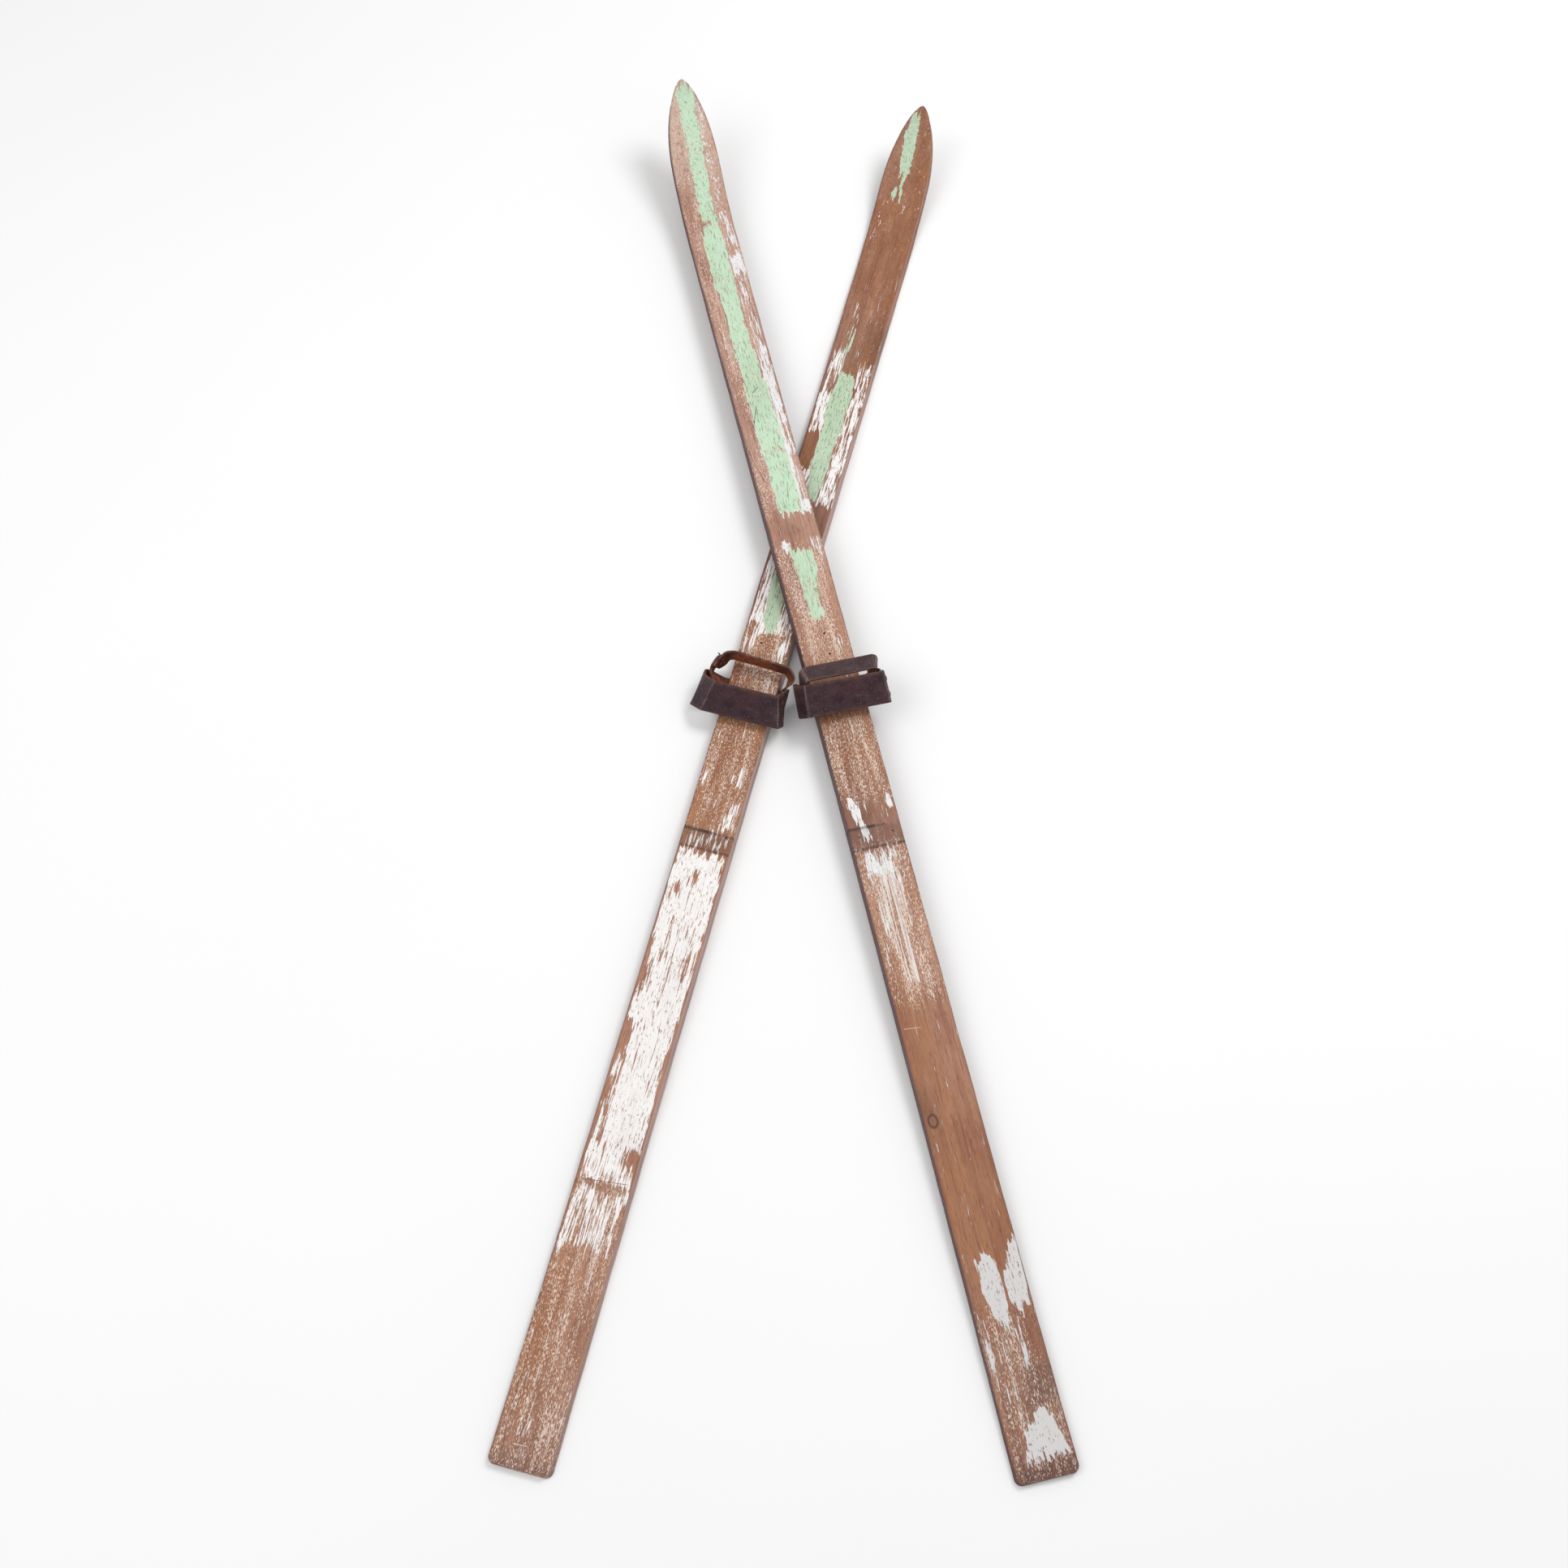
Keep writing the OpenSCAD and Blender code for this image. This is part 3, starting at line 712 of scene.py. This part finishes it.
    # How hard each spot is to keep painted, from 0 to 1: worn streaks follow the grain
    threads = s.noise(s.stretched(bent, (640, 36, 640)), detail=3, rough=0.6)
    flakes = s.noise(s.stretched(bent, (300, 14, 300)), detail=4, rough=0.62)
    chips = s.noise(s.stretched(ski, (80, 26, 80), (5, 0, 0)), detail=5, rough=0.65)
    hard = s.math("ADD", s.math("MULTIPLY", threads, 0.40), s.math("MULTIPLY", flakes, 0.38))
    hard = s.span(s.math("ADD", hard, s.math("MULTIPLY", chips, 0.22)), 0.38, 0.62)
    edge_wear = s.math("MULTIPLY", s.span(inset, 1.0, 5, 0.5, 0), on_top)
    white = s.math("SUBTRACT", s.math("SUBTRACT", white_left, edge_wear), hard)
    white = s.span(white, -0.02, 0.05)
    green = s.math("SUBTRACT", green_left, s.math("MULTIPLY", hard, 0.8))
    green_mask = s.span(green, -0.03, 0.08)
    specks = s.noise(s.stretched(bent, (620, 130, 620), (2, 8, 0)), detail=2)
    keep = s.span(specks, 0.62, 0.66, 1, 0.1)
    white = s.math("MULTIPLY", white, keep)
    green_mask = s.math("MULTIPLY", green_mask, keep)

    # Traces of paint: flecks in the open grain, and paint in straight ruled scratches
    dots = s.noise(s.stretched(bent, (1250, 240, 1250), (4, 4, 0)), detail=2, rough=0.5)
    groups = s.noise(s.stretched(bent, (110, 9, 110), (6, 1, 0)), detail=3)
    dots = s.math("ADD", dots, s.math("MULTIPLY", s.math("SUBTRACT", groups, 0.5), 0.5))
    flecks = s.span(s.math("ADD", dots, s.math("MULTIPLY", fleck_left, 0.18)), 0.64, 0.70)
    rows = s.noise(s.stretched(ski, (420, 1.2, 420), (1, 7, 0)), detail=1)
    ruled = s.span(s.math("SUBTRACT", ruled_left, hard), -0.15, 0.15)
    ruled = s.math("MULTIPLY", s.span(rows, 0.46, 0.54), ruled)
    flecks = s.math("MULTIPLY", s.math("MULTIPLY", flecks, on_top), s.span(fleck_left, 0, 0.3, 0, 0.85))
    ruled = s.math("MULTIPLY", s.math("MULTIPLY", ruled, on_top), 0.9)

    paint_tone = s.mix(s.span(threads, 0.46, 0.64, 0, 0.35), rgb(*WHITE_PAINT[side]), rgb(214, 200, 194))
    tail_grey = 0.75 if side == "right" else 0.0
    white_colour = s.mix(s.span(along, 300, 420, tail_grey, 0), paint_tone, rgb(206, 203, 202))
    white_colour = s.mix(s.span(clouds, 0.54, 0.72, 0, 0.30), white_colour, rgb(216, 204, 200))
    fresh = rgb(*GREEN_PAINT[side])
    green_colour = s.mix(s.span(flakes, 0.42, 0.62, 0, 0.4), fresh, rgb(206, 224, 202))
    green_colour = s.mix(s.span(clouds, 0.48, 0.68, 0, 0.6), green_colour, rgb(178, 200, 166))
    green_colour = s.mix(s.span(green, 0.03, 0.22, 0.7, 0), green_colour, rgb(212, 216, 188))
    dashes = s.noise(s.stretched(bent, (520, 60, 520), (3, 9, 0)), detail=2)
    green_colour = s.mix(s.span(dashes, 0.59, 0.66, 0, 0.75), green_colour, rgb(122, 128, 104))
    green_colour = s.mix(s.span(dashes, 0.38, 0.32, 0, 0.5), green_colour, rgb(222, 232, 214))
    paint = s.mix(green_mask, white_colour, green_colour)
    # the same stains and painted shadow darken the paint as well
    paint = s.mix(s.math("MULTIPLY", stain_and_shadow, 0.7), paint, rgb(90, 78, 74))
    cover = s.math("MAXIMUM", white, green_mask)
    colour = s.mix(flecks, wood, rgb(232, 212, 196))
    colour = s.mix(ruled, colour, rgb(228, 222, 218))
    colour = s.mix(cover, colour, paint)
    for line in SCRATCHES[side]:
        tone = rgb(222, 206, 192) if line[5] else rgb(84, 56, 50)
        mask = s.math("MULTIPLY", scratch_mask(s, across, along, line), s.span(pores, 0.35, 0.5, 0.3, 0.85))
        colour = s.mix(s.math("MULTIPLY", mask, on_top), colour, tone)

    height = s.math("ADD", s.math("MULTIPLY", lines, 0.35), s.math("MULTIPLY", pores, -0.25))
    height = s.math("ADD", height, s.math("MULTIPLY", cover, 0.55))
    height = s.math("SUBTRACT", height, s.math("MULTIPLY", ring, 0.8))
    rough = s.mix(cover, s.span(blotches, 0.3, 0.7, 0.50, 0.72), s.span(flakes, 0.3, 0.7, 0.42, 0.62))
    return s.finish(colour, rough, s.bump(height, 0.0004, 0.8), Specular_IOR_Level=0.35)


# ---------------------------------------------------------------- leather

def old_leather(name, dark, light, flesh, worn):
    """Grain side outside, flesh side inside, with cracked creases, pale creases at the sharpest bends that are
    partly wear and partly a painted highlight, and dry edges.
    """
    s = Shader(name)
    place = s.attribute("strap")
    along, across, layer = s.split(place)
    bend, edge, outer = s.split(s.attribute("wear"))
    metres = s.stretched(place, (1, 1, 0.004))
    blotches = s.noise(s.stretched(metres, (55, 80, 55)), detail=4)
    clouds = s.noise(s.stretched(metres, (22, 30, 22), (2, 0, 1)), detail=3)
    grain = s.add("TexVoronoi", {"Vector": metres, "Scale": 900.0}, "Distance", feature="F1")
    fine = s.noise(metres, 2200.0, detail=3)
    fibres = s.noise(s.stretched(metres, (140, 900, 140)), detail=3)
    cracks = s.noise(s.stretched(metres, (1100, 70, 200), (1, 4, 0)), detail=4, rough=0.65)
    scuffs = s.noise(s.stretched(metres, (90, 420, 90), (7, 3, 0)), detail=3)

    skin = s.mix(s.span(blotches, 0.35, 0.65), dark, light)
    skin = s.mix(s.span(clouds, 0.52, 0.70, 0, 0.5), skin, worn)
    skin = s.mix(s.span(scuffs, 0.64, 0.72, 0, 0.35), skin, rgb(112, 88, 90))
    nicks = s.noise(s.stretched(metres, (900, 700, 300), (3, 3, 0)), detail=2)
    skin = s.mix(s.span(nicks, 0.68, 0.72, 0, 0.7), skin, rgb(168, 146, 142))
    crack_mask = s.math("MULTIPLY", s.span(cracks, 0.50, 0.62), bend)
    skin = s.mix(s.math("MULTIPLY", crack_mask, 0.55), skin, rgb(150, 130, 122))
    flesh_side = s.mix(s.span(fibres, 0.35, 0.65), flesh, worn)
    flesh_side = s.mix(s.span(clouds, 0.45, 0.62, 0, 0.7), flesh_side, dark)
    # pale creases at the sharpest bends: partly worn leather, partly a painted highlight
    crease_wear_and_highlight = s.math("MULTIPLY", s.span(bend, 0.82, 1.0), s.span(scuffs, 0.42, 0.62, 0.15, 0.7))
    skin = s.mix(crease_wear_and_highlight, skin, rgb(140, 120, 118))
    colour = s.mix(outer, flesh_side, skin)
    rim = s.mix(s.span(fibres, 0.4, 0.6), rgb(112, 82, 70), rgb(74, 50, 46))
    colour = s.mix(s.math("MULTIPLY", edge, s.span(blotches, 0.3, 0.6, 0.4, 0.95)), colour, rim)

    height = s.math("ADD", s.math("MULTIPLY", grain, 0.5), s.math("MULTIPLY", fine, 0.25))
    height = s.math("ADD", height, s.math("MULTIPLY", blotches, 0.9))
    height = s.math("SUBTRACT", height, s.math("MULTIPLY", crack_mask, 1.2))
    rough = s.mix(outer, s.span(fibres, 0.3, 0.7, 0.75, 0.9), s.span(blotches, 0.3, 0.7, 0.42, 0.62))
    return s.finish(colour, rough, s.bump(height, 0.0004, 0.6), Specular_IOR_Level=0.22)


def old_metal(name, dark, light, rust):
    s = Shader(name)
    place = s.add("TexCoord", {}, "Object")
    spots = s.noise(place, 900.0, detail=4)
    fine = s.noise(place, 3500.0, detail=3)
    colour = s.mix(s.span(spots, 0.35, 0.65), dark, light)
    colour = s.mix(s.span(fine, 0.52, 0.68, 0, 0.8), colour, rust)
    metallic = s.span(spots, 0.4, 0.65, 0.4, 0.9)
    s.plug(s.surface.inputs["Metallic"], metallic)
    return s.finish(colour, s.span(fine, 0.3, 0.7, 0.42, 0.75), s.bump(fine, 0.0001, 0.6))


# ---------------------------------------------------------------- straps

THICKNESS = 3.2
LAYER_GAP = 0.15
LAP = 16
# Corners of each strap's centre line as (across, up, radius), anticlockwise from the slot's
# right-hand end. lean is forward at the top and roll turns the top's near edge up, in
# degrees; flare widens the near edge and narrows the far one by that share; and lap is
# the corner that starts the wall with the lap joint.
STRAPS = {
    ("left", "toe"): {
        "corners": [(44.5, -1.6, 6), (51, 18, 10), (45, 46, 4),
                    (-55, 46, 4), (-80, 17, 12), (-44.5, -1.6, 6)],
        "width": 45, "lean": -40, "roll": 0, "flare": 0.10, "lap": 1, "rivets": (-11, 11), "seed": 11},
    ("right", "toe"): {
        "corners": [(44.5, -1.6, 6), (67, 18, 10), (63, 44, 4),
                    (-50, 43, 4), (-62, 18, 10), (-44.5, -1.6, 6)],
        "width": 45, "lean": -28, "roll": 0, "flare": 0.02, "lap": 1, "rivets": (-11, 11), "seed": 12},
    ("left", "front"): {
        "corners": [(40, 1.6, 3.5), (42, 26, 6), (50, 38, 8), (42, 50, 12),
                    (-46, 54, 24), (-67, 24, 12), (-40, 1.6, 3.5)],
        "width": 23, "lean": 58, "roll": 30, "flare": 0, "lap": 4, "rivets": (0,), "seed": 13},
    ("right", "front"): {
        "corners": [(40, 1.6, 3.5), (50, 20, 9), (59, 50, 6), (-46, 49, 9), (-50, 20, 9), (-40, 1.6, 3.5)],
        "width": 23, "lean": 20, "roll": -16, "flare": 0, "lap": 1, "rivets": (0,), "seed": 14},
}
ARC_STEPS = 10
PATH_STEP = 1.6
LEAN_SPAN = (4, 25)
EDGE_ROUNDING = 0.8


def rounded_loop(corners):
    """The loop's centre line as points and how sharply it bends at each, from 0 to 1."""
    points, bends = [], []
    flat = [Vector(c[:2]) for c in corners]
    for i, corner in enumerate(flat):
        to_before = (flat[i - 1] - corner).normalized()
        to_after = (flat[(i + 1) % len(flat)] - corner).normalized()
        half = to_before.angle(to_after) / 2
        radius = corners[i][2]
        centre = corner + (to_before + to_after).normalized() * radius / math.sin(half)
        arm = corner + to_before * radius / math.tan(half) - centre
        for k in range(ARC_STEPS + 1):
            turn = Matrix.Rotation((math.pi - 2 * half) * k / ARC_STEPS, 2)
            points.append(centre + turn @ arm)
            bends.append(math.sin(math.pi * k / ARC_STEPS) ** 0.5 if 0 < k < ARC_STEPS else 0)
    return np.array([tuple(p) for p in points]), np.array(bends)


class Path:
    """A strap's centre line by its length from the start of its lap joint."""

    def __init__(self, strap):
        points, bends = rounded_loop(strap["corners"])
        low, high = strap["corners"][strap["lap"]], strap["corners"][strap["lap"] + 1]
        middle = np.array([(low[0] + high[0]) / 2, (low[1] + high[1]) / 2])
        towards = np.array([high[0] - low[0], high[1] - low[1]])
        start = middle - towards / np.linalg.norm(towards) * LAP / 2
        first = (strap["lap"] + 1) * (ARC_STEPS + 1)
        points = np.concatenate([[start], np.roll(points, -first, 0), [start]])
        bends = np.concatenate([[0], np.roll(bends, -first), [0]])
        steps = np.linalg.norm(np.diff(points, axis=0), axis=1)
        keep = np.concatenate([[True], steps > 1e-6])
        self.points, self.bends = points[keep], bends[keep]
        self.lengths = np.concatenate([[0], np.cumsum(steps[steps > 1e-6])])
        self.total = self.lengths[-1]

    def at(self, length):
        """Place, outward direction and bend at a length along the path, which closes on itself."""
        length = length % self.total
        ahead, behind = (length + 0.7) % self.total, (length - 0.7) % self.total
        place = self.lookup(length)
        tangent = self.lookup(ahead) - self.lookup(behind)
        tangent /= np.linalg.norm(tangent)
        bend = np.interp(length, self.lengths, self.bends)
        return place, np.array([tangent[1], -tangent[0]]), bend

    def lookup(self, length):
        return np.array([np.interp(length, self.lengths, self.points[:, k]) for k in (0, 1)])


def strap_section(width):
    """A flat strip's outline as (across the strip, out from its middle)."""
    flat, low = width / 2 - EDGE_ROUNDING, THICKNESS / 2
    outer = [(flat * (1 - 2 * i / 9), low) for i in range(10)]
    for middle, angles in ((low - EDGE_ROUNDING, (120, 150, 180)), (EDGE_ROUNDING - low, (180, 210, 240))):
        outer += [(EDGE_ROUNDING * math.cos(math.radians(a)) - flat,
                   EDGE_ROUNDING * math.sin(math.radians(a)) + middle) for a in angles]
    return outer + [(-across, -out) for across, out in outer]


def bent_place(strap, place, outward, across, out):
    """A point of the strap, in millimetres from the slot's axis, after its roll and its lean."""
    lift = smooth((place[1] - LEAN_SPAN[0]) / (LEAN_SPAN[1] - LEAN_SPAN[0]))
    roll = math.radians(strap["roll"]) * smooth((place[1] - 22) / 22)
    y = across * math.cos(roll) + out * math.sin(roll)
    n = out * math.cos(roll) - across * math.sin(roll)
    flare = 1 - strap["flare"] * 2 * across / strap["width"] * smooth((place[1] - 10) / 20)
    x, z = (place[0] + outward[0] * n) * flare, place[1] + outward[1] * n
    lean = math.radians(strap["lean"]) * lift
    return (x, y * math.cos(lean) + z * math.sin(lean), z * math.cos(lean) - y * math.sin(lean))


def strap_layer(path, length):
    """How far the strip lies inside its centre line: its end tucks under its start."""
    return -(THICKNESS + LAYER_GAP) * float(smooth((length - path.total + LAP) / 13))


def make_strap(side, kind, material):
    strap = STRAPS[side, kind]
    path = Path(strap)
    section = strap_section(strap["width"])
    count = int((path.total + LAP) / PATH_STEP)
    points, place_values, wear_values = [], [], []
    for i in range(count + 1):
        length = (path.total + LAP) * i / count
        place, outward, bend = path.at(length)
        tuck = strap_layer(path, length)
        trim = 0.35 * wander(strap["seed"], length, 40)
        for across, out in section:
            edge = smooth((abs(across) - strap["width"] / 2 + 1.4) / 1.2)
            sag = 0.5 * wander(strap["seed"] + 5, length + across, 30) * (1 - bend)
            curl = 0.7 * (2 * across / strap["width"]) ** 2
            pucker = 0.18 * bend * math.sin(length * 2.4 + 0.4 * across)
            shift = tuck + smooth((place[1] - 4) / 10) * (0.5 * sag - 0.4 * curl)
            wide = across + trim * (across / strap["width"])
            points.append(bent_place(strap, place, outward, wide, out + shift + pucker))
            place_values.append((length * MM, across * MM, out / THICKNESS))
            wear_values.append((bend, edge, 1.0 if out > 0.3 else 0.0))
    faces = ring_faces(count + 1, len(section))
    piece = mesh_object(f"{side}_{kind}_strap_leather", points, faces, material,
                        SKI[side] @ Matrix.Scale(MM, 4))
    set_attribute(piece, "strap", place_values)
    set_attribute(piece, "wear", wear_values)
    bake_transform(piece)
    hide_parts(f"{side}_{kind}_strap_web", f"{side}_{kind}_strap_loop")
    return path


# ---------------------------------------------------------------- nails and rivets

RIVET_HEAD = [(0.05, 1.5), (1.2, 1.45), (2.2, 1.2), (3.2, 0.75), (3.8, 0.3), (4.0, 0.0), (3.9, -0.15),
              (1.6, -0.2), (1.6, -6.5), (0.1, -6.5)]
BURR = [(1.75, -0.9), (2.2, -1.0), (3.3, -0.85), (3.6, -0.6), (3.6, -0.1), (3.4, 0), (1.75, 0)]
PEENED = [(0.1, -2.0), (1.2, -1.95), (2.0, -1.6), (2.3, -1.2), (2.2, -0.9), (0.1, -0.9)]
NAIL_HEAD = [(0.05, 0.32), (1.2, 0.28), (2.1, 0.1), (2.4, -0.2), (2.3, -0.6), (1.1, -0.8),
             (1.1, -14), (0.1, -15)]
TACK_HEAD = [(0.05, 0.9), (0.7, 0.8), (1.3, 0.5), (1.7, 0.05), (1.65, -0.1), (0.6, -0.15),
             (0.5, -9), (0.05, -10)]


def joined(name, parts, material):
    """One mesh of several (points, faces, matrix) parts."""
    points, faces = [], []
    for part_points, part_faces, matrix in parts:
        start = len(points)
        points += [matrix @ Vector(p) for p in part_points]
        faces += [tuple(start + v for v in face) for face in part_faces]
    return mesh_object(name, points, faces, material)


def rivet_matrix(side, strap, path, across, out):
    """A frame on the lap joint's middle, z outwards, out from the strap's centre line."""
    place, outward, _ = path.at(LAP / 2)
    origin = Vector(bent_place(strap, place, outward, across, out))
    tip = Vector(bent_place(strap, place, outward, across, out + 1))
    z = (tip - origin).normalized()
    local = z.to_track_quat("Z", "Y").to_matrix().to_4x4()
    local.translation = origin
    return SKI[side] @ Matrix.Scale(MM, 4) @ local


def make_rivets(side, kind, path, material):
    strap = STRAPS[side, kind]
    outer, inner = THICKNESS / 2, -1.5 * THICKNESS - LAYER_GAP
    plural = "s" if len(strap["rivets"]) > 1 else ""
    shapes = {"rivet": (lathe(RIVET_HEAD), outer), "burr": (lathe(BURR), inner),
              "peen": (lathe(PEENED), inner)}
    for name, keys in (("rivet", ("rivet", "peen")), ("burr", ("burr",))):
        parts = [(*shapes[key][0], rivet_matrix(side, strap, path, across, shapes[key][1]))
                 for across in strap["rivets"] for key in keys]
        piece = joined(f"{side}_{kind}_{name}_set", parts, material)
        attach(piece, f"{side}_{kind}_strap")
        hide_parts(f"{side}_{kind}_strap_{name}{plural}")


TACKS = {"left": [(-7.5, 1134)], "right": [(3.5, 1142), (3.5, 1109)]}
TOP_UP = 10.5


def make_nails(side, material):
    scale = SKI[side] @ Matrix.Scale(MM, 4)
    top = scale @ Matrix.Translation((0, 0, TOP_UP))
    parts = {"strap_nail": [(*lathe(NAIL_HEAD, 16), top)],
             "foot_tacks": [(*lathe(TACK_HEAD, 16), top @ Matrix.Translation((x, along - SLOT_ALONG, 0)))
                            for x, along in TACKS[side]]}
    for name, shapes in parts.items():
        piece = joined(f"{side}_{name}_iron", shapes, material)
        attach(piece, f"{side}_ski")
        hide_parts(f"{side}_{name}")


# ---------------------------------------------------------------- stage

def make_floor():
    s = Shader("pale_floor")
    cloud = s.noise(s.add("TexCoord", {}, "Object"), 1.2, detail=2)
    s.finish(s.mix(cloud, rgb(246, 246, 246), rgb(250, 250, 250)), 0.85, Specular_IOR_Level=0.1)
    half = 12
    corners = [(-half, -half, 0), (half, -half, 0), (half, half, 0), (-half, half, 0)]
    floor = mesh_object("floor", corners, [(0, 1, 2, 3)], s.material)
    floor.location.z = -0.0004


def make_light(name, place, size, power):
    data = bpy.data.lights.new(name, "AREA")
    data.shape = "DISK"
    data.size = size
    data.energy = power
    light = bpy.data.objects.new(name, data)
    light.location = place
    light.rotation_euler = (-Vector(place)).to_track_quat("-Z", "Y").to_euler()
    bpy.context.collection.objects.link(light)


def make_stage():
    make_floor()
    make_light("key", (1.6, 1.2, 3.2), 1.6, 60)
    make_light("fill", (-2.2, -0.8, 3.0), 2.4, 35)
    world = bpy.data.worlds.new("studio")
    world.use_nodes = True
    background = world.node_tree.nodes["Background"]
    background.inputs["Color"].default_value = (1, 1, 1, 1)
    background.inputs["Strength"].default_value = 0.75
    bpy.context.scene.world = world
    bpy.context.scene.view_settings.view_transform = "Standard"


# ---------------------------------------------------------------- build

make_camera()
make_stage()
toe_leather = old_leather("toe_strap_leather", rgb(42, 24, 31), rgb(64, 42, 48),
                          rgb(140, 74, 48), rgb(80, 44, 42))
front_leather = old_leather("front_strap_leather", rgb(52, 36, 39), rgb(74, 54, 56),
                            rgb(182, 98, 56), rgb(92, 56, 50))
iron_metal = old_metal("rusted_iron", rgb(44, 36, 34), rgb(76, 62, 56), rgb(96, 54, 36))
copper_metal = old_metal("dull_copper", rgb(92, 54, 40), rgb(140, 90, 66), rgb(58, 46, 42))
for side in ("left", "right"):
    make_board(side, painted_wood(side))
    make_nails(side, iron_metal)
    for kind, leather in (("toe", toe_leather), ("front", front_leather)):
        make_rivets(side, kind, make_strap(side, kind, leather), copper_metal)
